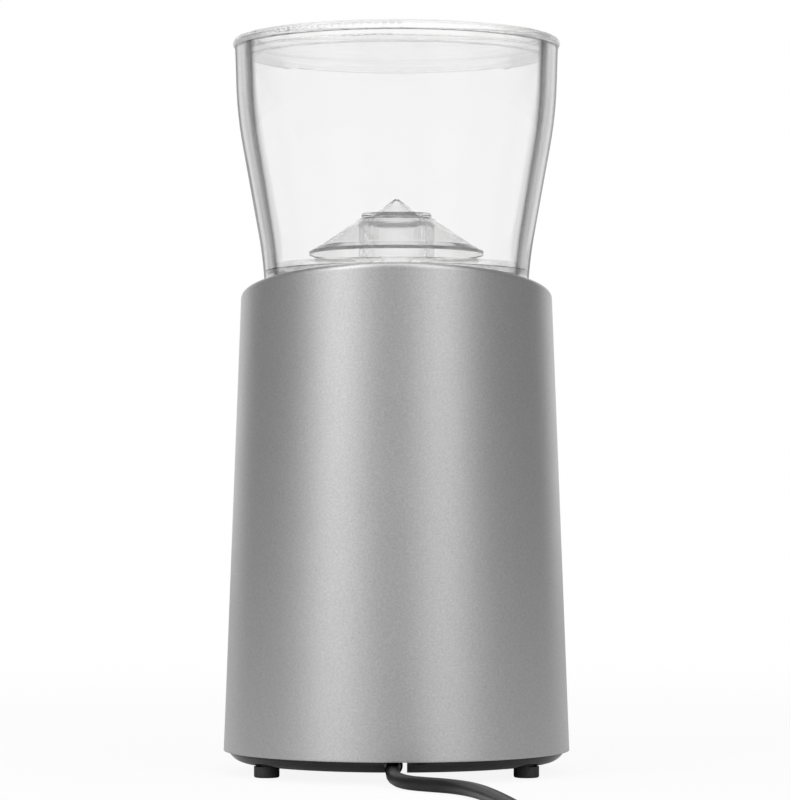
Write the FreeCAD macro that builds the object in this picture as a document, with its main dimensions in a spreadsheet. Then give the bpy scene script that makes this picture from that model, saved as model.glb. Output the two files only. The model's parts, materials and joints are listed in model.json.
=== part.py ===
import FreeCAD, Part
import math
import os
import re
import Sketcher

# Electric spice grinder with a clear hopper over a conical burr mill.
# Millimetres. The origin is the centre of the surface it stands on, Z is up,
# the container and controls face -Y, and the mains lead leaves at +Y.

Vector = FreeCAD.Vector
up = Vector(0, 0, 1)
doc = FreeCAD.newDocument("spice_grinder")
sheet = doc.addObject("Spreadsheet::Sheet", "sizes")

# Driving dimensions
driving = {
    # housing
    "body_taper": 0.0372,
    "shell_low": 7.9,
    "shell_wall": 2.5,
    "deck_level": 171.0,
    "deck_slope": 0.158,
    "deck_round": 1.7,
    "deck_gap": 1.0,
    # base and feet
    "base_low": 3.9,
    "base_inset": 2.2,
    "edge_run": 5.5,
    "edge_rise": 3.0,
    "base_rim_width": 11.8,
    "base_recess": 3.0,
    "floor_top": 10.0,
    "foot_inset": 9.3,
    "foot_radius": 4.5,
    "notch_width": 7.7,
    "notch_roof": 8.6,
    "head_bore": 3.4,
    # container and its bay
    "container_width": 72.0,
    "container_back": 4.0,
    "container_wall": 2.0,
    "container_tall": 71.4,
    "bay_gap": 0.6,
    "slide_gap": 0.4,
    "liner_wall": 1.2,
    # drive train
    "tooth_module": 1.0,
    "gear_teeth": 52,
    "pinion_teeth": 12,
    "gear_width": 8.0,
    "frame_thick": 3.0,
    "base_screw": 10.0,
    "motor_screw": 7.0,
    "chamber_screw": 9.0,
    "stack_gap": 3.0,
    "motor_radius": 21.0,
    "motor_tall": 62.0,
    "motor_hole_side": 10.0,
    "motor_hole_ahead": 9.0,
    "spindle_radius": 4.0,
    "running_gap": 0.04,
    # mill
    "chamber_radius": 30.4,
    "chamber_wall": 3.0,
    "chamber_tall": 43.0,
    "cone_low_radius": 19.0,
    "cone_top_radius": 9.0,
    "cone_tall": 30.0,
    "burr_gap": 0.7,
    "carrier_wall": 4.1,
    "ring_tall": 24.0,
    "carrier_lift": 1.8,
    "funnel_low": 22.0,
    "funnel_high": 28.6,
    "funnel_wall": 2.4,
    "chute_width": 24.0,
    "chute_depth": 10.1,
    "spout_wall": 1.5,
    # hopper, guard and lid
    "hopper_foot_radius": 47.7,
    "hopper_rim_radius": 58.2,
    "hopper_wall": 3.4,
    "wall_swell": 0.8,
    "hopper_tall": 102.1,
    "hopper_floor": 24.2,
    "floor_thick": 2.0,
    "ledge": 1.8,
    "slot_length": 9.0,
    "slot_narrow": 4.5,
    "slot_wide": 8.0,
    "post_radius": 13.7,
    "post_wall": 3.3,
    "post_tall": 15.7,
    "guard_radius": 31.5,
    "guard_peak": 8.2,
    "guard_wall": 1.1,
    "peak_radius": 7.7,
    "lid_over": 0.8,
    "lid_gap": 0.6,
    "lid_thick": 3.1,
    "lid_plug": 4.3,
    # controls
    "dial_level": 134.0,
    "dial_radius": 14.4,
    "button_level": 106.0,
    "button_radius": 7.3,
    "button_travel": 1.4,
    "control_wall": 1.5,
    "control_room": 9.309,
    "board_thick": 1.6,
    # mains lead
    "lead_radius": 2.5,
    "lead_side": 1.4,
    "relief_inset": 10.0,
    "relief_long": 22.0,
    "relief_level": 4.6,
    "coil_radius": 31.0,
    "coil_step": 2.8,
    "plug_width": 26.0,
    "blade_spread": 12.7,
}
for row, (alias, amount) in enumerate(driving.items(), start=1):
    sheet.set("A%d" % row, alias)
    sheet.set("B%d" % row, str(amount))
    sheet.setAlias("B%d" % row, alias)
doc.recompute()

# Levels and radii that follow from the driving dimensions
derived = {
    "bay_floor": "floor_top + liner_wall",
    "container_low": "bay_floor + slide_gap",
    "container_top": "container_low + container_tall",
    "lid_plate_top": "container_top + 1.6",
    "bay_top": "lid_plate_top + 0.8",
    "liner_top": "bay_top + liner_wall + 0.4",
    "frame_low": "liner_top + 2",
    "frame_top": "frame_low + frame_thick",
    "gear_low": "frame_top + stack_gap",
    "gear_top": "gear_low + gear_width",
    "chamber_low": "gear_top + stack_gap",
    "chamber_floor": "chamber_low + 3",
    "chamber_top": "chamber_floor + chamber_tall",
    "chamber_outer": "chamber_radius + chamber_wall",
    "burr_low": "chamber_floor + 7",
    "burr_top": "burr_low + cone_tall",
    "carrier_low": "chamber_floor + 8",
    "ring_low": "carrier_low + 3",
    "ring_top": "ring_low + ring_tall",
    "carrier_top": "ring_top + 3",
    "cone_slope": "(cone_low_radius - cone_top_radius) / cone_tall",
    "ring_bore": "cone_low_radius - cone_slope * (ring_low - burr_low) + burr_gap",
    "adjuster_low": "chamber_top + 0.2",
    "hopper_low": "chamber_top + 6",
    "hopper_top": "hopper_low + hopper_tall",
    "hopper_floor_top": "hopper_low + hopper_floor",
    "hopper_floor_low": "hopper_floor_top - floor_thick",
    "slot_start": "post_radius + 1.3",
    "slot_end": "slot_start + slot_length",
    "hopper_foot_bore": "hopper_foot_radius - hopper_wall",
    "hopper_rim_bore": "hopper_rim_radius - hopper_wall",
    "gear_centre": "tooth_module * (gear_teeth + pinion_teeth) / 2",
    "bay_half": "container_width / 2 + bay_gap",
    "chute_back": "-(chamber_outer + 1.5)",
    "chute_front": "chute_back - chute_depth",
    "chute_low": "bay_top + 0.2",
    "chute_high": "chamber_floor + 11",
    "board_back": "-chute_front + 1.4",
    "board_front": "board_back + board_thick",
    "body_radius": "board_front + control_room + body_taper * (dial_level - shell_low)",
    "foot_circle": "body_radius - foot_inset",
    "relief_end": "body_radius - relief_inset",
    "relief_start": "relief_end - relief_long",
    "ring_radius": "chamber_radius - 0.3 - carrier_wall",
    "leg_side": "body_radius - 15",
    "leg_rear": "body_radius - 26",
    "post_circle": "chamber_outer + 5.6",
    "boss_circle": "body_radius - base_inset - edge_run - head_bore + 0.6",
    "boss_top": "floor_top + 16",
    "coil_level": "2 * lead_radius + 0.6 + lead_radius",
}

# Fixed angles and places
pressure = math.radians(20)
lead_end = 5.0
coil_exit = 24.0
post_angles = (45, 135, 225, 315)
boss_angles = (10, 68, 112, 170)
leg_spots = [("leg_side", "-15"), ("-leg_side", "-15"),
             ("leg_rear", "leg_rear"), ("-leg_rear", "leg_rear")]
motor_spots = [("-motor_hole_side", "gear_centre + motor_hole_ahead"),
               ("motor_hole_side", "gear_centre + motor_hole_ahead")]


def radius_at(level, inset="0"):
    """Outer radius of the tapered housing at a level, less an inset."""
    return "(body_radius - body_taper * (%s - shell_low) - (%s))" % (level, inset)


def full(text):
    """Spell an expression out in the sheet's own names."""
    def swap(match):
        word = match.group(0)
        if word in driving:
            return "sizes." + word
        if word in derived:
            return "(" + full(derived[word]) + ")"
        return word
    return re.sub(r"[a-z][a-z_]*", swap, text)


def size(text):
    """The number that an expression gives now."""
    return float(sheet.evalExpression(full(text)))


def bind(thing, prop, text):
    thing.setExpression(prop, full(text))


# Features of a body
def new_body(name):
    body = doc.addObject("PartDesign::Body", name)
    body.Label = name
    return body


def new_sketch(body, role, level="0"):
    sketch = body.newObject("Sketcher::SketchObject", body.Name + "_sketch")
    for feature in body.Origin.OriginFeatures:
        if feature.Role == role:
            sketch.AttachmentSupport = (feature, [""])
    sketch.MapMode = "FlatFace"
    bind(sketch, "AttachmentOffset.Base.z", level)
    return sketch


def outline(body, role, corners, level="0"):
    """Closed outline through corners.

    A third entry is the radius of an arc to the next corner, positive where it bulges to the left.
    """
    sketch = new_sketch(body, role, level)
    spots = [Vector(size(corner[0]), size(corner[1]), 0) for corner in corners]
    count = len(corners)
    for index, corner in enumerate(corners):
        start, end = spots[index], spots[(index + 1) % count]
        if len(corner) == 2:
            sketch.addGeometry(Part.LineSegment(start, end), False)
            continue
        bend = size(corner[2])
        half = (end - start).Length / 2
        side = Vector(0, 0, 1).cross(end - start).normalize()
        sag = abs(bend) - math.sqrt(bend * bend - half * half)
        middle = (start + end) * 0.5 + side * math.copysign(sag, bend)
        pair = (end, middle, start) if bend > 0 else (start, middle, end)
        sketch.addGeometry(Part.Arc(*pair), False)
    ends = [(2, 1) if len(corner) == 3 and size(corner[2]) > 0 else (1, 2) for corner in corners]
    for index, corner in enumerate(corners):
        following = (index + 1) % count
        sketch.addConstraint(Sketcher.Constraint(
            "Coincident", index, ends[index][1], following, ends[following][0]))
        for kind, axis in (("DistanceX", 0), ("DistanceY", 1)):
            place = sketch.addConstraint(Sketcher.Constraint(
                kind, -1, 1, index, ends[index][0], spots[index][axis]))
            bind(sketch, "Constraints[%d]" % place, corner[axis])
        if len(corner) == 3:
            place = sketch.addConstraint(Sketcher.Constraint("Radius", index, abs(size(corner[2]))))
            bind(sketch, "Constraints[%d]" % place, "abs(%s)" % corner[2])
    return sketch


def circles(body, centres, radius, level="0", role="XY_Plane"):
    sketch = new_sketch(body, role, level)
    for index, centre in enumerate(centres):
        spot = Vector(size(centre[0]), size(centre[1]), 0)
        sketch.addGeometry(Part.Circle(spot, up, size(radius)), False)
        place = sketch.addConstraint(Sketcher.Constraint("Radius", index, size(radius)))
        bind(sketch, "Constraints[%d]" % place, radius)
        for kind, axis in (("DistanceX", 0), ("DistanceY", 1)):
            place = sketch.addConstraint(Sketcher.Constraint(kind, -1, 1, index, 3, spot[axis]))
            bind(sketch, "Constraints[%d]" % place, centre[axis])
    return sketch


def revolve(body, corners):
    """Turn an outline of radius and level pairs about the body's upright axis."""
    turn = body.newObject("PartDesign::Revolution", body.Name + "_turn")
    turn.Profile = outline(body, "XZ_Plane", corners)
    turn.ReferenceAxis = (turn.Profile[0], ["V_Axis"])
    turn.Angle = 360
    return turn


def pad(body, sketch, length, flip=False):
    feature = body.newObject("PartDesign::Pad", body.Name + "_pad")
    feature.Profile = sketch
    feature.Reversed = flip
    bind(feature, "Length", length)
    return feature


def pocket(body, sketch, length, flip=True, both=False):
    """Cut along +Z, or +Y where the sketch stands upright, unless flip is False."""
    doc.recompute()
    before = body.Shape.Volume
    feature = body.newObject("PartDesign::Pocket", body.Name + "_pocket")
    feature.Profile = sketch
    feature.Reversed = flip
    if both:
        feature.SideType = "Symmetric"
    bind(feature, "Length", length)
    doc.recompute()
    if not body.Shape.Volume < before - 0.01:
        raise ValueError("nothing cut from " + body.Name)
    return feature


def around(body, feature, count):
    """Repeat a feature evenly about the upright axis."""
    pattern = body.newObject("PartDesign::PolarPattern", body.Name + "_pattern")
    pattern.Originals = [feature]
    for plane in body.Origin.OriginFeatures:
        if plane.Role == "Z_Axis":
            pattern.Axis = (plane, [""])
    pattern.Angle = 360
    pattern.Occurrences = count
    body.Tip = pattern
    doc.recompute()
    return pattern


def soften(body, radius, *rings):
    """Round the circular edges that have the given radius and level."""
    doc.recompute()
    found = []
    for number, edge in enumerate(body.Shape.Edges, start=1):
        if not isinstance(edge.Curve, Part.Circle):
            continue
        for ring_radius, level in rings:
            near = abs(edge.Curve.Radius - size(ring_radius)) < 0.02
            if near and abs(edge.Curve.Center.z - size(level)) < 0.02:
                found.append("Edge%d" % number)
    base = body.Tip
    fillet = body.newObject("PartDesign::Fillet", body.Name + "_round")
    fillet.Base = (base, found)
    bind(fillet, "Radius", radius)
    doc.recompute()
    return fillet


def ring_spots(radius, angles):
    return [("(%s) * %.6f" % (radius, math.cos(math.radians(angle))),
             "(%s) * %.6f" % (radius, math.sin(math.radians(angle)))) for angle in angles]


def turned(name, corners, side="0", depth="0"):
    """A body of revolution that stands on the axis or beside it."""
    body = new_body(name)
    revolve(body, corners)
    bind(body, "Placement.Base.x", side)
    bind(body, "Placement.Base.y", depth)
    doc.recompute()
    return body


def face_forward(body, level):
    """Lay a turned body along -Y at a level."""
    body.Placement = FreeCAD.Placement(Vector(), FreeCAD.Rotation(Vector(1, 0, 0), 90))
    bind(body, "Placement.Base.z", level)


# Primitives and booleans
def box(x_low, x_high, y_low, y_high, z_low, z_high):
    block = doc.addObject("Part::Box", "block")
    bind(block, "Length", "(%s) - (%s)" % (x_high, x_low))
    bind(block, "Width", "(%s) - (%s)" % (y_high, y_low))
    bind(block, "Height", "(%s) - (%s)" % (z_high, z_low))
    bind(block, "Placement.Base.x", x_low)
    bind(block, "Placement.Base.y", y_low)
    bind(block, "Placement.Base.z", z_low)
    return block


def envelope(inset, z_low, z_high):
    """Solid cone inside the housing's outer surface."""
    cone = doc.addObject("Part::Cone", "envelope")
    bind(cone, "Radius1", radius_at("(%s)" % z_low, inset))
    bind(cone, "Radius2", radius_at("(%s)" % z_high, inset))
    bind(cone, "Height", "(%s) - (%s)" % (z_high, z_low))
    bind(cone, "Placement.Base.z", z_low)
    return cone


def rod(x, y, radius, z_low, z_high):
    cylinder = doc.addObject("Part::Cylinder", "rod")
    bind(cylinder, "Radius", radius)
    bind(cylinder, "Height", "(%s) - (%s)" % (z_high, z_low))
    bind(cylinder, "Placement.Base.x", x)
    bind(cylinder, "Placement.Base.y", y)
    bind(cylinder, "Placement.Base.z", z_low)
    return cylinder


def join(kind, base, tool, label=None):
    result = doc.addObject("Part::" + kind, label or kind.lower())
    if kind == "Common":
        result.Base, result.Tool = base, tool
    if kind == "Cut":
        result.Base, result.Tool = base, tool
    if kind == "MultiFuse":
        result.Shapes = [base] + tool
    doc.recompute()
    return result


def made(name, shape):
    feature = doc.addObject("Part::Feature", name)
    feature.Label = name
    feature.Shape = shape
    return feature


# Housing and base
def slanted(name, inset):
    """The tapered body under the slanted deck, inset from the outer surface."""
    body = new_body(name)
    low = "shell_low - (%s)" % inset
    high = "deck_level + 24"
    revolve(body, [("0", low), (radius_at("(%s)" % low, inset), low),
                   (radius_at("(%s)" % high, inset), high), ("0", high)])
    level = "(deck_level - (%s))" % inset
    slope = outline(body, "YZ_Plane", [
        ("-80", level + " - 80 * deck_slope"), ("80", level + " + 80 * deck_slope"),
        ("80", "deck_level + 60"), ("-80", "deck_level + 60")])
    pocket(body, slope, "400", both=True)
    return body


def across(x, level, radius, y_low, y_high):
    """A round cutter that lies along Y."""
    cylinder = rod(x, y_low, radius, "0", "(%s) - (%s)" % (y_high, y_low))
    cylinder.Placement = FreeCAD.Placement(Vector(), FreeCAD.Rotation(Vector(1, 0, 0), -90))
    bind(cylinder, "Placement.Base.x", x)
    bind(cylinder, "Placement.Base.y", y_low)
    bind(cylinder, "Placement.Base.z", level)
    return cylinder


def housing_shell():
    outer = slanted("shell_outer", "0")
    edges = outer.Shape.Edges
    rim = max(range(len(edges)), key=lambda k: min(edges[k].BoundBox.XLength, 90) + edges[k].CenterOfMass.z)
    slope_cut = outer.Tip
    fillet = outer.newObject("PartDesign::Fillet", "deck_fillet")
    fillet.Base = (slope_cut, ["Edge%d" % (rim + 1)])
    bind(fillet, "Radius", "deck_round")
    doc.recompute()
    hollow = join("Cut", outer, slanted("shell_core", "shell_wall"))
    boss_spots = ring_spots("boss_circle", boss_angles)
    bosses = [rod(x, y, "4", "floor_top + 0.3", "boss_top") for x, y in boss_spots]
    bosses += [rod(x, y, "3", "floor_top + 0.3", "boss_top")
               for x, y in ring_spots("boss_circle + 5.5", boss_angles)]
    inside = join("Common", join("MultiFuse", bosses[0], bosses[1:]), envelope("1", "shell_low", "60"))
    solid = join("MultiFuse", hollow, [inside])
    cutters = [rod(x, y, "1.4", "floor_top", "floor_top + 14") for x, y in boss_spots]
    cutters.append(rod("0", "0", "hopper_foot_radius + deck_gap", "deck_level - 40", "deck_level + 40"))
    cutters.append(box("-bay_half", "bay_half", "-80", "0", "bay_floor", "bay_top"))
    cutters.append(across("0", "dial_level", "dial_radius + 1.8", "-80", "0"))
    cutters.append(across("0", "button_level", "button_radius + 1.9", "-80", "0"))
    return join("Cut", solid, join("MultiFuse", cutters[0], cutters[1:]), "housing_shell")


def base_plate():
    body = new_body("base_plate")
    edge = "body_radius - base_inset"
    spigot = radius_at("floor_top", "shell_wall + 0.3")
    rim = "body_radius - base_inset - base_rim_width"
    roof = "base_low + base_recess"
    bend = "((edge_run * edge_run + edge_rise * edge_rise) / (2 * edge_rise))"
    revolve(body, [("0", roof), (rim, roof), (rim, "base_low"), (edge + " - edge_run", "base_low", "-" + bend),
                   (edge, "base_low + edge_rise"), (edge, "shell_low"), (spigot, "shell_low"),
                   (spigot, "floor_top"), ("0", "floor_top")])
    soften(body, "1", (rim, "base_low"))
    notch = outline(body, "XY_Plane", [
        ("-notch_width / 2 + 0.25", "relief_start - 2"), ("notch_width / 2 + 0.25", "relief_start - 2"),
        ("notch_width / 2 + 0.25", "80"), ("-notch_width / 2 + 0.25", "80")])
    pocket(body, notch, "notch_roof")
    spots = leg_spots + ring_spots("boss_circle", boss_angles)
    pocket(body, circles(body, spots, "1.7"), "40")
    pocket(body, circles(body, spots, "head_bore"), roof)
    return body


def feet():
    for number, angle in enumerate((30, 150, 270), start=1):
        x, y = ring_spots("foot_circle", (angle,))[0]
        body = turned("foot_%d" % number, [
            ("0", "0"), ("foot_radius", "0"), ("foot_radius", "base_low"), ("0", "base_low")], x, y)
        soften(body, "0.7", ("foot_radius", "0"))


def screws(name, spots, seat, length, way, shank_radius="1.3", head_radius="3"):
    """Pan head screws whose shanks point up or down from the seat, kept as one piece."""
    solids = []
    for x, y in spots:
        at = Vector(size(x), size(y), size(seat))
        head = Part.makeCylinder(size(head_radius), 2, at, up * -way)
        shank = Part.makeCylinder(size(shank_radius), size(length), at, up * way)
        drive = Part.makeBox(0.8, 4, 1, at + Vector(-0.4, -2, -0.5 - 2 * way))
        solids.append(head.fuse(shank).cut(drive).removeSplitter())
    made(name, Part.makeCompound(solids))


# Container and its bay
def bay_liner():
    outside = join("Common", box("-bay_half - 1.6", "bay_half + 1.6", "-80", "container_back + 3.6",
                                 "floor_top", "liner_top"),
                   envelope("shell_wall + 0.3", "floor_top", "liner_top"))
    inside = box("-bay_half", "bay_half", "-80", "container_back + 2", "bay_floor", "bay_top")
    chute_way = box("-chute_width / 2 - 0.3", "chute_width / 2 + 0.3", "chute_front - 0.3",
                    "chute_back + spout_wall + 0.3", "bay_top - 1", "liner_top + 1")
    return join("Cut", outside, join("MultiFuse", inside, [chute_way]), "bay_liner")


def container_block(inset, low, high):
    """The container's outline, flat behind and following the housing in front."""
    half = "container_width / 2 - (%s)" % inset
    return join("Common", box("-(%s)" % half, half, "-80", "container_back - (%s)" % inset, low, high),
                envelope(inset, low, high))


def container():
    block = container_block("0", "container_low", "container_top")
    tall = doc.addObject("Part::Fillet", "container_round")
    tall.Base = block
    upright = [number for number, edge in enumerate(block.Shape.Edges, start=1)
               if edge.BoundBox.ZLength > 50 and edge.CenterOfMass.y > 0]
    tall.Edges = [(number, 5.0, 5.0) for number in upright]
    hollow = container_block("container_wall", "container_low + container_wall", "container_top + 20")
    grip = across("0", "container_top + 4", "13", "-80", "-30")
    return join("Cut", tall, join("MultiFuse", hollow, [grip]), "container")


def container_lid():
    plate = container_block("0", "container_top", "lid_plate_top")
    lip = container_block("container_wall + 0.3", "container_top - 2.5", "container_top")
    inside = container_block("container_wall + 1.8", "container_top - 4", "container_top")
    mouth = box("-chute_width / 2 + 0.5", "chute_width / 2 - 0.5", "chute_front + 0.5",
                "chute_back + 1", "container_top - 5", "lid_plate_top + 1")
    ring = join("Cut", lip, inside)
    grip = across("0", "container_top + 4", "13", "-80", "-container_width / 2 - 20")
    solid = join("Cut", join("MultiFuse", plate, [ring]), join("MultiFuse", mouth, [grip]))
    corners = doc.addObject("Part::Fillet", "container_lid")
    corners.Base = solid
    upright = [number for number, edge in enumerate(solid.Shape.Edges, start=1)
               if abs(edge.BoundBox.ZLength - 1.6) < 0.01 and edge.CenterOfMass.y > 0
               and abs(edge.CenterOfMass.x) > 30]
    corners.Edges = [(number, 5.0, 5.0) for number in upright]
    doc.recompute()
    return corners


# Drive train
def drive_frame():
    body = new_body("drive_frame")
    pad(body, circles(body, [("0", "0")], "body_radius - 8", "frame_low"), "frame_thick")
    posts = [("post_circle * %.6f" % math.cos(math.radians(angle)),
              "post_circle * %.6f" % math.sin(math.radians(angle))) for angle in post_angles]
    pad(body, circles(body, posts, "3.6", "frame_top"), "chamber_low - frame_top")
    pad(body, circles(body, leg_spots, "4", "floor_top"), "frame_low - floor_top")
    chute_way = outline(body, "XY_Plane", [
        ("-chute_width / 2 - 0.3", "chute_front - 0.3"), ("chute_width / 2 + 0.3", "chute_front - 0.3"),
        ("chute_width / 2 + 0.3", "chute_back + spout_wall + 0.3"),
        ("-chute_width / 2 - 0.3", "chute_back + spout_wall + 0.3")])
    pocket(body, chute_way, "200")
    pocket(body, circles(body, [("0", "0")], "spindle_radius + 2"), "200")
    pocket(body, circles(body, [("0", "gear_centre")], "7.3"), "200")
    pocket(body, circles(body, motor_spots, "1.7"), "200")
    pocket(body, circles(body, posts, "1.3", "chamber_low - 9"), "10")
    pocket(body, circles(body, leg_spots, "1.3", "floor_top"), "12")
    body.Label = "drive_frame"
    return body


def gear_outline(teeth, module, tip, root, backlash, phase):
    """Involute spur gear outline with three points along each flank."""
    pitch = teeth * module / 2
    base = pitch * math.cos(pressure)
    half_pitch = math.pi / (2 * teeth) - backlash / (2 * pitch)
    involute = math.tan(pressure) - pressure
    points = []
    for tooth in range(teeth):
        centre = phase + 2 * math.pi * tooth / teeth
        flank = []
        for step in range(4):
            radius = max(base, pitch - root) + (pitch + tip - max(base, pitch - root)) * step / 3
            angle = math.acos(min(1, base / radius))
            flank.append((radius, half_pitch + involute - (math.tan(angle) - angle)))
        if base > pitch - root:
            flank.insert(0, (pitch - root, flank[0][1]))
        for radius, half in flank:
            points.append((radius, centre - half))
        for radius, half in reversed(flank):
            points.append((radius, centre + half))
    corners = [Vector(radius * math.cos(angle), radius * math.sin(angle), 0) for radius, angle in points]
    return Part.makePolygon(corners + corners[:1])


def gear(name, teeth, tip, phase, place, bore, low, high, rim=None):
    module = size("tooth_module")
    wire = gear_outline(teeth, module, tip * module, 1.25 * module, 0.16, phase)
    solid = Part.Face(wire).extrude(Vector(0, 0, high - low))
    solid = solid.cut(Part.makeCylinder(bore, high - low))
    if rim:
        hub = Part.makeCylinder(rim + 1, high).cut(Part.makeCylinder(bore + 4, high))
        solid = solid.cut(hub.translate(Vector(0, 0, (high - low) / 2)))
    solid.translate(place + Vector(0, 0, low))
    return made(name, solid)


def gears():
    low, high = size("gear_low"), size("gear_top")
    gear("spindle_gear", int(size("gear_teeth")), 0.72, 0, Vector(), size("spindle_radius"), low, high,
         rim=size("tooth_module * gear_teeth / 2 - 6"))
    pinion_teeth = int(size("pinion_teeth"))
    gear("motor_pinion", pinion_teeth, 0.95, -math.pi / 2 + math.pi / pinion_teeth,
         Vector(0, size("gear_centre"), 0), 2.5, low, high)


def motor():
    can_low = "frame_low - motor_tall"
    can = turned("motor_can", [
        ("0", can_low), ("motor_radius", can_low), ("motor_radius", "frame_low"), ("7", "frame_low"),
        ("7", "frame_low + 2"), ("2.5 + running_gap", "frame_low + 2"),
        ("2.5 + running_gap", "frame_low - 20"), ("0", "frame_low - 20")], "0", "gear_centre")
    soften(can, "2", ("motor_radius", can_low))
    holes = [("-motor_hole_side", "motor_hole_ahead"), ("motor_hole_side", "motor_hole_ahead")]
    pocket(can, circles(can, holes, "1.3", "frame_low - 6"), "8")
    slot = outline(can, "XZ_Plane", [("-3", "frame_low - 50"), ("3", "frame_low - 50"),
                                     ("3", "frame_low - 30"), ("-3", "frame_low - 30")],
                   "-motor_radius - 1")
    around(can, pocket(can, slot, "3.5"), 6)
    turned("motor_shaft", [("0", "frame_low - 19.5"), ("2.5", "frame_low - 19.5"),
                           ("2.5", "gear_top + 1"), ("0", "gear_top + 1")], "0", "gear_centre")
    turned("lower_bush", [
        ("spindle_radius + running_gap", "frame_low - 0.4"), ("spindle_radius + 3.5", "frame_low - 0.4"),
        ("spindle_radius + 3.5", "frame_low"), ("spindle_radius + 2", "frame_low"),
        ("spindle_radius + 2", "frame_top + 2"), ("spindle_radius + running_gap", "frame_top + 2")])
    turned("upper_bush", [
        ("spindle_radius + running_gap", "chamber_low - 1"), ("spindle_radius + 2", "chamber_low - 1"),
        ("spindle_radius + 2", "chamber_floor + 0.6"), ("spindle_radius + running_gap", "chamber_floor + 0.6")])
    turned("spindle", [
        ("0", "frame_low - 0.6"), ("spindle_radius", "frame_low - 0.6"), ("spindle_radius", "burr_top"),
        ("3", "burr_top"), ("3", "burr_top + 5.5"), ("0", "burr_top + 5.5")])


# Mill
def burr_housing():
    body = new_body("burr_housing")
    revolve(body, [
        ("spindle_radius + 2", "chamber_low"), ("chamber_outer + 10.6", "chamber_low"),
        ("chamber_outer + 10.6", "chamber_floor"), ("chamber_outer", "chamber_floor"),
        ("chamber_outer", "chamber_top"), ("chamber_radius", "chamber_top"),
        ("chamber_radius", "chamber_floor"), ("spindle_radius + 2", "chamber_floor")])
    chute = outline(body, "XY_Plane", [
        ("-chute_width / 2", "chute_front"), ("chute_width / 2", "chute_front"),
        ("chute_width / 2", "-chamber_radius - 0.6"), ("-chute_width / 2", "-chamber_radius - 0.6")],
        "chamber_low")
    pad(body, chute, "chute_high - chamber_low")
    drop = outline(body, "XY_Plane", [
        ("-chute_width / 2 + spout_wall", "chute_front + spout_wall"),
        ("chute_width / 2 - spout_wall", "chute_front + spout_wall"),
        ("chute_width / 2 - spout_wall", "chute_back"), ("-chute_width / 2 + spout_wall", "chute_back")],
        "chamber_low - 1")
    pocket(body, drop, "chute_high - 0.5 - chamber_low")
    window = outline(body, "XY_Plane", [
        ("-chute_width / 2 + 1.5", "chute_front + 2"), ("chute_width / 2 - 1.5", "chute_front + 2"),
        ("chute_width / 2 - 1.5", "-chamber_radius + 8"), ("-chute_width / 2 + 1.5", "-chamber_radius + 8")],
        "chamber_floor")
    pocket(body, window, "chute_high - 1.5 - chamber_floor")
    key = outline(body, "XY_Plane", [
        ("-3.3", "chamber_radius - 3"), ("3.3", "chamber_radius - 3"),
        ("3.3", "chamber_radius + 1.8"), ("-3.3", "chamber_radius + 1.8")], "chamber_floor + 3")
    around(body, pocket(body, key, "chamber_tall"), 3)
    posts = [("post_circle * %.6f" % math.cos(math.radians(angle)),
              "post_circle * %.6f" % math.sin(math.radians(angle))) for angle in post_angles]
    pocket(body, circles(body, posts, "1.7"), "200")
    return body


def grounds_spout():
    side, back = "chute_width / 2", "chute_back + spout_wall"
    tube_wall = box("-" + side, side, "chute_front", back, "chute_low", "chamber_low")
    collar = box("-%s - 2" % side, side + " + 2", "chute_front - 2", back + " + 2",
                 "frame_top", "frame_top + 1.2")
    bore = box("-%s + spout_wall" % side, side + " - spout_wall", "chute_front + spout_wall", "chute_back",
               "chute_low - 1", "chamber_low + 1")
    return join("Cut", join("MultiFuse", tube_wall, [collar]), bore, "grounds_spout")


def toothed(shape, low, high, low_radius, high_radius, count, deep, wide, twist):
    """Cut slanting V grooves down a conical face."""
    cutters = []
    for number in range(count):
        wires = []
        for level, radius, turn in ((low, low_radius, 0), (high, high_radius, twist)):
            middle = 2 * math.pi * number / count + turn
            spread = wide / radius / 2
            corners = [Vector(reach * math.cos(turn), reach * math.sin(turn), level)
                       for reach, turn in ((radius + deep, middle - spread), (radius + deep, middle + spread),
                                           (radius - deep, middle + spread / 3))]
            wires.append(Part.makePolygon(corners + corners[:1]))
        cutters.append(Part.makeLoft(wires, True, True))
    return shape.cut(cutters)


def burrs():
    low, high = size("burr_low"), size("burr_top")
    cone = turned("cone_blank", [
        ("spindle_radius", "burr_low"), ("cone_low_radius", "burr_low"), ("cone_top_radius", "burr_top"),
        ("spindle_radius", "burr_top")])
    fine = toothed(cone.Shape, low - 1, low + 14, size("cone_low_radius + cone_slope"),
                   size("cone_low_radius - cone_slope * 14"), 24, 0.9, 2.6, 0.35)
    coarse = toothed(fine, low + 8, high + 1, size("cone_low_radius - cone_slope * 8"),
                     size("cone_top_radius - cone_slope"), 6, 2.2, 5.0, 0.9)
    made("cone_burr", coarse)
    ring = turned("ring_blank", [
        ("ring_radius", "ring_low"), ("ring_radius", "ring_top"), ("ring_radius - 3", "ring_top"),
        ("ring_bore - cone_slope * 11", "ring_low + 11"), ("ring_bore", "ring_low")])
    bore_low = size("ring_bore + cone_slope")
    bore_high = size("ring_bore - cone_slope * 11")
    made("ring_burr", toothed(ring.Shape, size("ring_low") - 1, size("ring_low") + 11,
                              bore_low, bore_high, 30, 0.8, 2.2, -0.3))
    corners = [Vector(5.8 * math.cos(math.radians(60 * k)), 5.8 * math.sin(math.radians(60 * k)), high)
               for k in range(7)]
    nut = Part.Face(Part.makePolygon(corners)).extrude(Vector(0, 0, 4.5))
    made("spindle_nut", nut.cut(Part.makeCylinder(3, 4.5, Vector(0, 0, high))))


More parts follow.
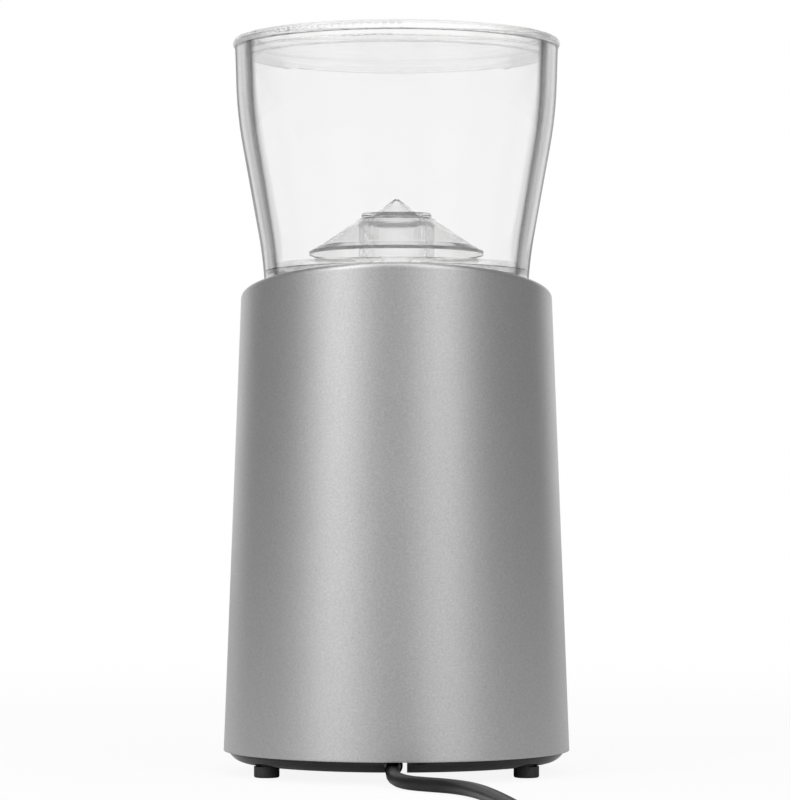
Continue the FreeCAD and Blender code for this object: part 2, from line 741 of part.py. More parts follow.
def impeller():
    body = turned("impeller", [
        ("spindle_radius", "chamber_floor + 1"), ("chamber_radius - 5", "chamber_floor + 1"),
        ("chamber_radius - 5", "chamber_floor + 2.4"), ("spindle_radius + 4", "chamber_floor + 2.4"),
        ("spindle_radius + 4", "burr_low"), ("spindle_radius", "burr_low")])
    blade = outline(body, "XY_Plane", [
        ("-1", "spindle_radius + 3"), ("1", "spindle_radius + 3"), ("1", "chamber_radius - 2.4"),
        ("-1", "chamber_radius - 2.4")], "chamber_floor + 1")
    around(body, pad(body, blade, "4.4"), 4)


def burr_carrier():
    body = turned("burr_carrier", [
        ("ring_radius - 2.5", "carrier_low"), ("chamber_radius - 0.3", "carrier_low"),
        ("chamber_radius - 0.3", "carrier_top"), ("ring_radius", "carrier_top"),
        ("ring_radius", "ring_low"), ("ring_radius - 2.5", "ring_low")])
    key = outline(body, "XY_Plane", [
        ("-3", "chamber_radius - 2"), ("3", "chamber_radius - 2"), ("3", "chamber_radius + 1.5"),
        ("-3", "chamber_radius + 1.5")], "carrier_low")
    around(body, pad(body, key, "carrier_top - carrier_low"), 3)


def adjuster():
    spigot = "chamber_radius - 0.3"
    outer = "hopper_foot_bore - 0.4"
    shoulder = "hopper_foot_radius - 0.9"
    body = turned("adjuster", [
        ("funnel_low", "carrier_top + carrier_lift + 0.4"), (spigot, "carrier_top + carrier_lift + 0.4"),
        (spigot, "adjuster_low"), (shoulder, "adjuster_low"), (shoulder, "hopper_low - 0.1"),
        (outer, "hopper_low - 0.1"), (outer, "hopper_low + 14"), (outer + " - 2", "hopper_low + 14"),
        (outer + " - 2", "hopper_low - 3"), ("funnel_high + funnel_wall + 2", "hopper_low - 3"),
        ("funnel_high + funnel_wall", "hopper_floor_low - 0.5"), ("funnel_high", "hopper_floor_low - 0.5"),
        ("funnel_low", "adjuster_low + 2")])
    lug = outline(body, "XY_Plane", [
        ("-3.8", outer + " - 1"), ("3.8", outer + " - 1"), ("3.8", shoulder + " - 0.3"),
        ("-3.8", shoulder + " - 0.3")], "hopper_low - 0.1")
    around(body, pad(body, lug, "7.4"), 3)


# Hopper, guard and lid
def hopper():
    foot, rim, wall = "hopper_foot_radius", "hopper_rim_radius", "hopper_wall"
    swell = "(hopper_rim_radius - hopper_foot_radius)"
    body = new_body("hopper")
    revolve(body, [
        (foot + " - 0.3 - " + wall, "hopper_low"), (foot + " - 0.3", "hopper_low"),
        (foot, "hopper_low + 20", "150"), (foot + " + %s * 0.22" % swell, "hopper_low + 37"),
        (foot + " + %s * 0.72" % swell, "hopper_low + 66", "-150"),
        (rim + " - 0.4", "hopper_low + 90"), (rim, "hopper_top"),
        (rim + " - " + wall, "hopper_top"),
        (rim + " - 0.4 - 0.4 * wall_swell - " + wall, "hopper_low + 90", "200"),
        (foot + " + %s * 0.72 - wall_swell - " % swell + wall, "hopper_low + 66"),
        (foot + " + %s * 0.22 - wall_swell - " % swell + wall, "hopper_low + 37", "-100"),
        (foot + " - " + wall + " + 0.1", "hopper_floor_top"), (foot + " - " + wall, "hopper_floor_low"),
        (foot + " - " + wall + " - ledge", "hopper_floor_low"),
        (foot + " - " + wall, "hopper_floor_low - ledge")])
    drive = outline(body, "XY_Plane", [
        ("-4.2", "hopper_foot_bore - 2"), ("4.2", "hopper_foot_bore - 2"),
        ("4.2", "hopper_foot_radius + 2"), ("-4.2", "hopper_foot_radius + 2")], "hopper_low - 1")
    around(body, pocket(body, drive, "8.8"), 3)
    return body


def hopper_floor():
    edge = "hopper_foot_bore - 0.1"
    bore = "post_radius - post_wall"
    post_top = "hopper_floor_top + post_tall"
    body = turned("hopper_floor", [
        ("0", "hopper_floor_low"), (edge, "hopper_floor_low"), (edge, "hopper_floor_top"),
        ("post_radius", "hopper_floor_top"), ("post_radius", post_top),
        (bore, post_top), (bore, "hopper_floor_top"), ("0", "hopper_floor_top")])
    slot = outline(body, "XY_Plane", [
        ("slot_start", "-slot_narrow"), ("slot_end", "-slot_wide"), ("slot_end", "slot_wide"),
        ("slot_start", "slot_narrow")],
        "hopper_floor_low - 1")
    around(body, pocket(body, slot, "floor_thick + 2"), 6)


def finger_guard():
    top = "hopper_floor_top + post_tall"
    bore = "post_radius - post_wall - 0.3"
    body = turned("finger_guard", [
        ("0", top + " + guard_peak"), ("0.8", top + " + guard_peak - 0.2"), ("peak_radius", top + " + 2.8"),
        ("post_radius - 1.1", top + " + 2.8"),
        ("post_radius - 1.1", top + " + 1.2"), ("post_radius + 1", top + " + 0.3"),
        ("guard_radius - 4.1", top + " - 8"), ("guard_radius", top + " - 10.3"),
        ("guard_radius", top + " - 11.5"), ("guard_radius - 4.4", top + " - 9.3"),
        ("post_radius + 0.4", top + " - 1"), ("post_radius + 0.4", top), (bore, top), (bore, top + " - 8"),
        (bore + " - 1.6", top + " - 8"), (bore + " - 1.6", top + " + 1"),
        ("0", top + " + guard_peak - guard_wall")])
    soften(body, "0.5", ("post_radius - 1.1", top + " + 2.8"))


def hopper_lid():
    plug = "hopper_rim_bore - lid_gap"
    flange = "hopper_rim_radius + lid_over"
    dish = "hopper_rim_bore - lid_gap - 3.4"
    body = turned("hopper_lid", [
        ("0", "hopper_top - 1.7"), (dish, "hopper_top - 1.7"), (dish, "hopper_top + lid_thick"),
        (flange, "hopper_top + lid_thick"), (flange, "hopper_top"), (plug, "hopper_top"),
        (plug, "hopper_top - lid_plug"), ("0", "hopper_top - lid_plug")])
    rib = outline(body, "XY_Plane", [
        ("-5.8", "-(%s) + 1" % plug), ("-4.4", "-(%s) + 1" % plug), ("-4.4", "-(%s) - 0.05" % plug),
        ("-5.8", "-(%s) - 0.05" % plug)], "hopper_top - lid_plug")
    pad(body, rib, "lid_plug")
    soften(body, "1.4", (flange, "hopper_top + lid_thick"), (flange, "hopper_top"))
    soften(body, "0.8", (dish, "hopper_top + lid_thick"), (dish, "hopper_top - 1.7"),
           (plug, "hopper_top - lid_plug"))


# Controls
def controls():
    face = radius_at("dial_level")
    cup = "dial_radius + 1.6"
    floor = face + " - 4.9"
    bezel = turned("dial_bezel", [
        ("4", floor), (cup, floor), (cup, face + " + 1.9"), (cup + " - 1.2", face + " + 1.9"),
        (cup + " - 1.2", floor + " + control_wall"), ("4", floor + " + control_wall")])
    soften(bezel, "0.5", (cup, face + " + 1.9"))
    face_forward(bezel, "dial_level")
    dial = turned("dial", [
        ("3", floor + " + control_wall + 0.4"), ("dial_radius", floor + " + control_wall + 0.4"),
        ("dial_radius - 0.4", face + " + 4.3"), ("0", face + " + 4.3"), ("0", face), ("3", face)])
    flute = circles(dial, [("dial_radius + 0.5", "0")], "1.1", face + " - 1")
    around(dial, pocket(dial, flute, "8"), 24)
    pointer = outline(dial, "XY_Plane", [("-0.8", "6"), ("0.8", "6"), ("0.8", "dial_radius - 1.6"),
                                         ("-0.8", "dial_radius - 1.6")], face + " + 3.7")
    pocket(dial, pointer, "2")
    face_forward(dial, "dial_level")
    shaft = turned("dial_shaft", [("0", "board_front + 0.8"), ("3", "board_front + 0.8"),
                                  ("3", face), ("0", face)])
    face_forward(shaft, "dial_level")
    pot = turned("dial_switch", [
        ("0", "board_front"), ("8", "board_front"), ("8", "board_front + 2.8"),
        ("3 + running_gap", "board_front + 2.8"), ("3 + running_gap", "board_front + 0.6"),
        ("0", "board_front + 0.6")])
    face_forward(pot, "dial_level")
    front = radius_at("button_level")
    ring = "button_radius + 1.7"
    seat = front + " - 3.6"
    rim = turned("button_bezel", [
        ("4", seat), (ring, seat), (ring, front + " + 1.6"), (ring + " - 1.4", front + " + 1.6"),
        (ring + " - 1.4", seat + " + control_wall"), ("4", seat + " + control_wall")])
    soften(rim, "0.5", (ring, front + " + 1.6"))
    face_forward(rim, "button_level")
    button = turned("start_button", [
        ("0", "board_front + 1.9"), ("1.5", "board_front + 1.9"), ("1.5", "board_front + 4.4"),
        ("3", "board_front + 4.4"), ("3", seat + " + control_wall + button_travel + 0.4"),
        ("button_radius", seat + " + control_wall + button_travel + 0.4"),
        ("button_radius", front + " + 3"), ("0", front + " + 3")])
    soften(button, "0.8", ("button_radius", front + " + 3"))
    face_forward(button, "button_level")
    switch = turned("start_switch", [
        ("0", "board_front"), ("5", "board_front"), ("5", "board_front + 2.7"),
        ("1.6", "board_front + 2.7"), ("1.6", "board_front + 0.2"), ("0", "board_front + 0.2")])
    face_forward(switch, "button_level")
    board = new_body("control_board")
    shape = outline(board, "XZ_Plane", [
        ("-16", "frame_top + 3"), ("16", "frame_top + 3"), ("16", "dial_level + 12"),
        ("-16", "dial_level + 12")], "board_back")
    pad(board, shape, "board_thick")


# Mains lead
def rounded_path(points, share):
    """Straight runs joined by tangent arcs, each as large as its two runs allow."""
    edges, radii, start = [], [], points[0]
    for before, corner, after in zip(points, points[1:], points[2:]):
        run_in, run_out = corner - before, after - corner
        half = run_in.getAngle(run_out) / 2
        reach = share * min(run_in.Length, run_out.Length)
        radii.append(reach / math.tan(half))
        first = corner - run_in.normalize() * reach
        last = corner + run_out.normalize() * reach
        bisector = (last - first).normalize()
        inward = (first + last) * 0.5 - corner
        sag = radii[-1] * (1 - math.cos(half))
        middle = (first + last) * 0.5 - inward.normalize() * sag
        edges.append(Part.LineSegment(start, first).toShape())
        edges.append(Part.Arc(first, middle, last).toShape())
        start = last
    edges.append(Part.LineSegment(start, points[-1]).toShape())
    return edges, radii


def tube(edges, radius):
    path = Part.Wire(edges)
    first = edges[0]
    start = first.valueAt(first.FirstParameter)
    section = Part.Wire(Part.makeCircle(radius, start, first.tangentAt(first.FirstParameter)))
    return path.makePipeShell([section], True, False), path.Length


def coil_edges(centre_x, centre_y, low, high):
    """Half turns spiralling in on the floor, climbing once, and spiralling out again above."""
    reach, step = size("coil_radius"), size("coil_step")
    spans = [reach - step * number for number in range(5)]
    spans += [reach - 2 * step, reach - step, reach, reach + step]
    edges, sign = [], -1
    start = Vector(centre_x - spans[0], centre_y, low)
    edges.append(Part.LineSegment(start - Vector(0, lead_end, 0), start).toShape())
    for number in range(8):
        sign = -sign
        level = low if number < 3 else high
        heading = Vector(0, -sign, 0) * -1
        end = Vector(centre_x + sign * spans[number + 1], centre_y, level)
        reach_out = (end - start).Length / 2
        join_at = (start + end) * 0.5 + heading * reach_out
        for first, way, last in ((start, heading, join_at), (end, heading, join_at)):
            chord = last - first
            normal = way.cross(chord).normalize()
            inward = normal.cross(way).normalize()
            bend = chord.dot(chord) / (2 * chord.dot(inward))
            hub = first + inward * bend
            middle = hub + ((first + last) * 0.5 - hub).normalize() * abs(bend)
            pair = (first, middle, last) if first is start else (last, middle, first)
            edges.append(Part.Arc(*pair).toShape())
        start = end
    end = start + Vector(0, coil_exit, 0)
    edges.append(Part.LineSegment(start, end).toShape())
    return edges, end


def mains_lead():
    radius = size("lead_radius")
    tip = Vector(size("lead_side"), size("relief_end"), size("relief_level"))
    floor = radius + 0.02
    relief = turned("strain_relief", [
        ("0", "relief_start - 2"), ("3.6", "relief_start - 2"), ("3.6", "relief_start + 2"),
        ("2.9", "relief_start + 2"), ("lead_radius", "relief_end"), ("0", "relief_end")])
    relief.Placement = FreeCAD.Placement(Vector(), FreeCAD.Rotation(Vector(1, 0, 0), -90))
    bind(relief, "Placement.Base.x", "lead_side")
    bind(relief, "Placement.Base.z", "relief_level")
    route = [tip] + [Vector(x, y, z) for x, y, z in (
        (1.4, 60, 4.6), (0.8, 70, 3.2), (-3.5, 79, floor), (-10.5, 86, floor), (-17.5, 92, floor),
        (-23, 101, floor), (-27, 113, floor), (-30.5, 130, floor), (-34, 152, floor), (-37.5, 178, floor),
        (-40.5, 206, floor), (-43, 236, floor), (-44.5, 262, floor), (-44.5, 285, floor))]
    edges, radii = rounded_path(route, 0.45)
    print("lead radii", [round(radius) for radius in radii])
    solid, length = tube(edges, radius)
    print("lead length %.1f, volume over section times length %.4f"
          % (length, solid.Volume / (math.pi * radius ** 2 * length)))
    made("cord_lead", solid)
    centre_x = route[-1].x + size("coil_radius")
    edges, end = coil_edges(centre_x, route[-1].y + lead_end, floor, size("coil_level") + 0.02)
    solid, coil_length = tube(edges, radius)
    print("coil length %.1f, volume ratio %.4f, whole lead %.1f"
          % (coil_length, solid.Volume / (math.pi * radius ** 2 * coil_length), length + coil_length))
    points = []
    for edge in edges:
        points += edge.discretize(Distance=1.0)[1:]
    travelled, gap = [0.0], 1e9
    for before, after in zip(points, points[1:]):
        travelled.append(travelled[-1] + (after - before).Length)
    for first in range(len(points)):
        for second in range(first + 1, len(points)):
            if travelled[second] - travelled[first] > 6 * radius:
                gap = min(gap, (points[second] - points[first]).Length - 2 * radius)
    print("coil least gap %.2f" % gap)
    made("cord_coil", solid)
    plug(end)


def plug(end):
    half, tall, long = size("plug_width") / 2, 2 * end.z, 24
    neck = Part.makeCone(3.4, 5.2, 10, end, Vector(0, 1, 0))
    block = Part.makeBox(2 * half, long, tall, Vector(end.x - half, end.y + 10, 0))
    upright = [edge for edge in block.Edges if edge.BoundBox.YLength > long - 1]
    block = block.makeFillet(5, upright)
    front = [edge for edge in block.Edges if edge.CenterOfMass.y < end.y + 10.01]
    block = block.makeFillet(2, front)
    body = block.fuse(neck).removeSplitter()
    reach = end.y + 10 + long
    for name, side in (("plug_blade_left", -1), ("plug_blade_right", 1)):
        x = end.x + side * size("blade_spread") / 2
        blade = Part.makeBox(1.5, 22, 6.3, Vector(x - 0.75, reach - 5, end.z - 3.15))
        body = body.cut(blade)
        tip = [edge for edge in blade.Edges if edge.CenterOfMass.y > reach + 16.9 and edge.BoundBox.XLength > 1]
        made(name, blade.makeFillet(1.5, tip))
    made("plug_body", body)


housing_shell()
base_plate()
feet()
bay_liner()
container()
container_lid()
drive_frame()
gears()
motor()
burr_housing()
grounds_spout()
burrs()
impeller()
burr_carrier()
adjuster()
hopper()
hopper_floor()
finger_guard()
hopper_lid()
controls()
mains_lead()
screws("base_screws", leg_spots + ring_spots("boss_circle", boss_angles), "base_low + base_recess",
       "base_screw", 1)
screws("motor_screws", motor_spots, "frame_top", "motor_screw", -1)
screws("chamber_screws", ring_spots("post_circle", post_angles), "chamber_floor", "chamber_screw", -1)

nodes = """
housing_shell base_plate foot_1 foot_2 foot_3 bay_liner container container_lid drive_frame
motor_can motor_shaft motor_pinion spindle spindle_gear lower_bush upper_bush burr_housing grounds_spout
cone_burr ring_burr spindle_nut impeller burr_carrier adjuster hopper hopper_floor finger_guard hopper_lid
dial_bezel dial dial_shaft dial_switch button_bezel start_button start_switch control_board
base_screws motor_screws chamber_screws strain_relief cord_lead cord_coil plug_body
plug_blade_left plug_blade_right
""".split()

doc.recompute()
failed = [thing.Name for thing in doc.Objects if "Invalid" in thing.State or "Error" in thing.State]
if failed:
    raise RuntimeError("failed: " + " ".join(failed))
os.makedirs("parts", exist_ok=True)
for node in nodes:
    shape = doc.getObjectsByLabel(node)[0].Shape
    if shape.isNull() or not shape.isValid() or shape.Volume <= 0:
        raise RuntimeError("bad shape: " + node)
for node in nodes:
    shape = doc.getObjectsByLabel(node)[0].Shape
    shape.exportStep("parts/%s.step" % node)
    print("%-18s %d solids, %3d faces, %9.1f mm3" % (node, len(shape.Solids), len(shape.Faces), shape.Volume))
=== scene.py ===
import json
import math
import bmesh
import bpy
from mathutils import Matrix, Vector
from mathutils.bvhtree import BVHTree


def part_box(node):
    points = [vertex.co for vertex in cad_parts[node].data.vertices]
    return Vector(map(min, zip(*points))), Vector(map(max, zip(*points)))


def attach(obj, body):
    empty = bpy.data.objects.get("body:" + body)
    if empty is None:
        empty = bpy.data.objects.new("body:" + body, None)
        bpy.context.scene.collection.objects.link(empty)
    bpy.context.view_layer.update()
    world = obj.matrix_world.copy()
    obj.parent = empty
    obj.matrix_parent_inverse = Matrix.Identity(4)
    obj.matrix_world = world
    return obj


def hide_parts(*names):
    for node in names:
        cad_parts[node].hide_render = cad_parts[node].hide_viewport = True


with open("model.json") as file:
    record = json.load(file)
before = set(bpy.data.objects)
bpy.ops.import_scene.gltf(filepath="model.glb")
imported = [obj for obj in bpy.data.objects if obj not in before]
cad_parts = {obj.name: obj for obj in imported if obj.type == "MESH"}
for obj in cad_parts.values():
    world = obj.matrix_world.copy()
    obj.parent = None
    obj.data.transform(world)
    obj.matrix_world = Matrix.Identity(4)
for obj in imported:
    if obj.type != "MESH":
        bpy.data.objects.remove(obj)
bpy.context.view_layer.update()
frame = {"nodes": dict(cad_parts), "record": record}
nodes = frame["nodes"]
sceneNow = bpy.context.scene
print("frame loaded", len(nodes), "nodes")


# camera, at the photograph's distance and height behind the grinder
view = {"distance": 1.256, "height": 0.101, "aside": 0.00054, "tiltDeg": 1.478,
        "lens": 157.0, "sensor": 36.0, "near": 0.01, "far": 50.0}


def placeCamera():
    camData = bpy.data.cameras.new("view")
    camData.lens = view["lens"]
    camData.sensor_width = view["sensor"]
    camData.clip_start = view["near"]
    camData.clip_end = view["far"]
    cam = bpy.data.objects.new("view", camData)
    cam.location = (view["aside"], view["distance"], view["height"])
    cam.rotation_euler = (math.radians(90 + view["tiltDeg"]), 0, math.radians(180))
    sceneNow.collection.objects.link(cam)
    sceneNow.camera = cam


# mains lead: route in millimetres, as in the part's source, then the coil's half turns
lead = {
    "radius": 2.5, "floor": 2.52, "length": 0.942,
    "route": [(1.4, 52, 4.6), (1.4, 60, 4.6), (0.8, 70, 3.2), (-3.5, 79, 2.52), (-10.5, 86, 2.52),
              (-17.5, 92, 2.52), (-23, 101, 2.52), (-27, 113, 2.52), (-30.5, 130, 2.52), (-34, 152, 2.52),
              (-37.5, 178, 2.52), (-40.5, 206, 2.52), (-43, 236, 2.52), (-44.5, 262, 2.52),
              (-44.5, 285, 2.52)],
    "coilGap": 5, "coilRadius": 31.0, "coilStep": 2.8,
    "stepsIn": (0, 1, 2, 3, 4, 2, 1, 0, -1),  # from the widest half turn, at each half turn's ends
    "riseAt": 3, "layer": 8.12,  # the half turn that climbs, and the height it climbs to
    "perHalf": 8, "outset": 1.013, "exitShares": (0.2, 0.6, 1.0), "coilExit": 24.0,
    "steps": 8, "roundSteps": 6,
}


def coilPoints():
    # the spline cuts inside its points, so they stand a little outside each half turn
    spans = [lead["coilRadius"] - lead["coilStep"] * k for k in lead["stepsIn"]]
    centreX = lead["route"][-1][0] + lead["coilRadius"]
    startY = lead["route"][-1][1] + lead["coilGap"]
    points = []
    for half in range(len(spans) - 1):
        side = -1 if half % 2 == 0 else 1
        start, end = side * spans[half], -side * spans[half + 1]
        middle, radius = (start + end) / 2, abs(start - end) / 2
        for k in range(lead["perHalf"]):
            turn = math.pi * (k + 0.5) / lead["perHalf"]
            x = centreX + middle + (start - middle) * math.cos(turn) * lead["outset"]
            y = startY - side * radius * math.sin(turn) * lead["outset"]
            if half < lead["riseAt"]:
                z = lead["floor"]
            elif half == lead["riseAt"]:
                z = lead["floor"] + (lead["layer"] - lead["floor"]) * (1 - math.cos(turn)) / 2
            else:
                z = lead["layer"]
            points.append((x, y, z))
    for along in lead["exitShares"]:
        points.append((centreX - spans[-1], startY + along * lead["coilExit"], lead["layer"]))
    return points


def makeLead():
    curve = bpy.data.curves.new("mainsLead", "CURVE")
    curve.dimensions = "3D"
    points = lead["route"] + coilPoints()
    spline = curve.splines.new("NURBS")
    spline.points.add(len(points) - 1)
    for spot, point in zip(spline.points, points):
        spot.co = (point[0] / 1000, point[1] / 1000, point[2] / 1000, 1)
        spot.radius = lead["radius"] / 1000  # a curve's box grows by this, so it holds the size
    spline.order_u = 3
    spline.use_endpoint_u = True
    spline.resolution_u = lead["steps"]
    curve.bevel_depth = 1.0  # times each point's radius
    curve.bevel_resolution = lead["roundSteps"]
    piece = bpy.data.objects.new("mainsLead", curve)
    sceneNow.collection.objects.link(piece)
    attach(piece, "base")
    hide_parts("cord_lead", "cord_coil")
    exitSpot = [v / 1000 for v in lead["route"][0]]
    lead["length"]
    lead["radius"] / 500
    nodes["plug_body"]
    nodes["plug_blade_left"]
    nodes["plug_blade_right"]
    return piece


# shader maths on sockets
class Val:
    def __init__(self, finish, socket):
        self.finish = finish
        self.socket = socket

    def op(self, kind, other, flipped=False):
        pair = (other, self) if flipped else (self, other)
        return self.finish.node("ShaderNodeMath", {"operation": kind}, {0: pair[0], 1: pair[1]})["Value"]

    def __add__(self, other):
        return self.op("ADD", other)

    def __radd__(self, other):
        return self.op("ADD", other, True)

    def __sub__(self, other):
        return self.op("SUBTRACT", other)

    def __rsub__(self, other):
        return self.op("SUBTRACT", other, True)

    def __mul__(self, other):
        return self.op("MULTIPLY", other)

    def __rmul__(self, other):
        return self.op("MULTIPLY", other, True)

    def __gt__(self, other):
        return self.op("GREATER_THAN", other)

    def __lt__(self, other):
        return self.op("LESS_THAN", other)


class Outs:
    def __init__(self, finish, made):
        self.finish = finish
        self.made = made

    def __getitem__(self, name):
        return Val(self.finish, self.made.outputs[name])


class Finish:
    def __init__(self, tree):
        self.tree = tree

    def node(self, kind, settings=None, inputs=None):
        made = self.tree.nodes.new(kind)
        for name, value in (settings or {}).items():
            if name == "stops":
                ramp = made.color_ramp.elements
                while len(ramp) < len(value):
                    ramp.new(0.5)
                for stop, (place, colour) in zip(ramp, value):
                    stop.position = place
                    stop.color = (*colour, 1)
            else:
                setattr(made, name, value)
        for name, value in (inputs or {}).items():
            if isinstance(value, Val):
                self.tree.links.new(value.socket, made.inputs[name])
            else:
                made.inputs[name].default_value = value
        return Outs(self, made)

    def mixColour(self, factor, first, second):
        # the colours go into the Mix node's sockets 6 and 7 and come out of 2
        colours = {6: (*first, 1), 7: (*second, 1)}
        return self.node("ShaderNodeMix", {"data_type": "RGBA"}, {0: factor, **colours})[2]

    def spot(self):
        return self.node("ShaderNodeTexCoord")["Object"]

    def facing(self):
        return self.node("ShaderNodeLayerWeight", None, {"Blend": 0.5})["Facing"]

    def noise(self, scale, detail, fineness=0.5, vector=None):
        return self.node("ShaderNodeTexNoise", None,
                         {"Vector": vector or self.spot(), "Scale": scale, "Detail": detail,
                          "Roughness": fineness})["Fac"]

    def ramp(self, factor, stops):
        return self.node("ShaderNodeValToRGB", {"stops": stops}, {"Fac": factor})["Color"]

    def ease(self, value, start, full, least=0.0, most=1.0):
        ends = {"From Min": start, "From Max": full, "To Min": least, "To Max": most}
        return self.node("ShaderNodeMapRange", {"interpolation_type": "SMOOTHSTEP"},
                         {"Value": value, **ends})["Result"]

    def layOver(self, factor, kind, level):
        # another shader over the finish, as strong as the factor
        ending = self.tree.nodes["Material Output"].inputs["Surface"]
        under = ending.links[0].from_socket
        coat = self.node(kind, None, {"Color": (*grey(level), 1)})
        mixed = self.node("ShaderNodeMixShader", None, {0: factor, 2: coat["BSDF"]})
        self.tree.links.new(under, mixed.made.inputs[1])
        self.tree.links.new(mixed.made.outputs[0], ending)

    def bump(self, height, depth, strength, under=None):
        inputs = {"Height": height, "Distance": depth, "Strength": strength}
        if under:
            inputs["Normal"] = under
        return self.node("ShaderNodeBump", None, inputs)["Normal"]


def surface(name, values, build):
    material = bpy.data.materials.new(name)
    material.use_nodes = True
    finish = Finish(material.node_tree)
    shader = material.node_tree.nodes["Principled BSDF"]
    for socket, value in {**values, **build(finish)}.items():
        if isinstance(value, Val):
            finish.tree.links.new(value.socket, shader.inputs[socket])
        elif isinstance(value, tuple):
            shader.inputs[socket].default_value = (*value, 1)
        else:
            shader.inputs[socket].default_value = value
    return material


def grey(level):
    return (level, level, level)


# silver paint: flakes over a cloudy gloss, with the edges softened by a bevel in the shading
silver = {"dark": 0.36, "pale": 0.56, "flakeSize": 1700, "flakeDetail": 1.0, "depth": 0.00003, "bump": 0.35,
          "cloudSize": 60, "cloudDetail": 3.0, "rough": 0.335, "spread": 0.05,
          "edge": 0.0009, "edgeSamples": 4,
          "fixed": {"Metallic": 0.82, "Coat Weight": 0.12, "Coat Roughness": 0.15}}


def silverPaint(f):
    flakes = f.noise(silver["flakeSize"], silver["flakeDetail"])
    cloud = f.noise(silver["cloudSize"], silver["cloudDetail"])
    edge = f.node("ShaderNodeBevel", {"samples": silver["edgeSamples"]}, {"Radius": silver["edge"]})
    return {"Base Color": f.mixColour(flakes, grey(silver["dark"]), grey(silver["pale"])),
            "Roughness": cloud * silver["spread"] + silver["rough"],
            "Normal": f.bump(flakes, silver["depth"], silver["bump"], edge["Normal"])}


black = {"dark": 0.006, "pale": 0.014, "dustSize": 120, "dustDetail": 4.0, "rough": 0.03, "spread": 0.06,
         "grainSize": 900, "grainDetail": 2.0, "depth": 0.00001, "bump": 0.1, "baseLevel": 0.28}


def mouldedBlack(f):
    grain = f.noise(black["grainSize"], black["grainDetail"])
    dust = f.noise(black["dustSize"], black["dustDetail"])
    return {"Base Color": f.mixColour(dust, grey(black["dark"]), grey(black["pale"])),
            "Roughness": dust * black["spread"] + black["rough"],
            "Normal": f.bump(grain, black["depth"], black["bump"])}


# clear plastic: thin pieces let a share of the light straight through, so their edges draw pale lines
clear = {"swirlSize": 40, "swirlDetail": 2.0, "rough": 0.02, "depth": 0.00002, "bump": 0.15, "shadow": 0.9,
         "boxTint": 1.0, "fixed": {"Base Color": grey(0.988), "Transmission Weight": 1.0,
                                   "IOR": 1.49, "Specular Tint": grey(0.5)}}
# thin pieces: their colour ramp by facing paints shade on their edges, going grey at grazing view
thinClear = {"ior": 1.3, "lid": 0.22, "guard": 0.07, "guardTint": 0.7,
             "stops": [(0.55, grey(0.99)), (0.85, grey(0.88)), (1.0, grey(0.5))]}
# hopper wall: ramps by facing that paint shade bands and a dark edge line on the outer face
clearWall = {"stops": [(0.515, grey(0.955)), (0.567, grey(0.06)), (0.62, grey(0.13)), (0.66, grey(0.29)),
                       (0.7, grey(0.44)), (0.76, grey(0.62)), (0.86, grey(0.6)), (1.0, grey(0.3))],
             "line": [(0.8, grey(0)), (0.88, grey(0.6)), (1.0, grey(0.75))], "lineGrey": 0.12}


def clearSkin(f):
    swirl = f.noise(clear["swirlSize"], clear["swirlDetail"])
    f.layOver(f.node("ShaderNodeLightPath")["Is Shadow Ray"], "ShaderNodeBsdfTransparent", clear["shadow"])
    return {"Roughness": swirl * clear["rough"], "Normal": f.bump(swirl, clear["depth"], clear["bump"])}


def thinClearSkin(share):
    def build(f):
        looks = clearSkin(f)
        f.layOver(share, "ShaderNodeBsdfTransparent", 1.0)
        # painted shade: the colour darkens toward grazing view, drawing grey edges on the thin pieces
        return {**looks, "Base Color": f.ramp(f.facing(), thinClear["stops"])}
    return build


def clearWallSkin(f):
    looks = clearSkin(f)
    # painted shade: the outer face's colour darkens in grey bands where its facing turns the view along the
    # inner wall, standing in for the refracted dark surroundings, and nowhere on the inner face
    place = f.node("ShaderNodeTexCoord")
    flat = {0: place["Object"], 1: (1, 1, 0)}
    outward = f.node("ShaderNodeVectorMath", {"operation": "MULTIPLY"}, flat)["Vector"]
    both = {0: place["Normal"], 1: outward}
    outer = f.node("ShaderNodeVectorMath", {"operation": "DOT_PRODUCT"}, both)["Value"] > 0
    paintedShadeFacing = f.facing() * outer
    # painted shade: a grey diffuse coat draws a dark line along the outer face at grazing view
    f.layOver(f.ramp(paintedShadeFacing, clearWall["line"]), "ShaderNodeBsdfDiffuse", clearWall["lineGrey"])
    return {**looks, "Base Color": f.ramp(paintedShadeFacing, clearWall["stops"])}


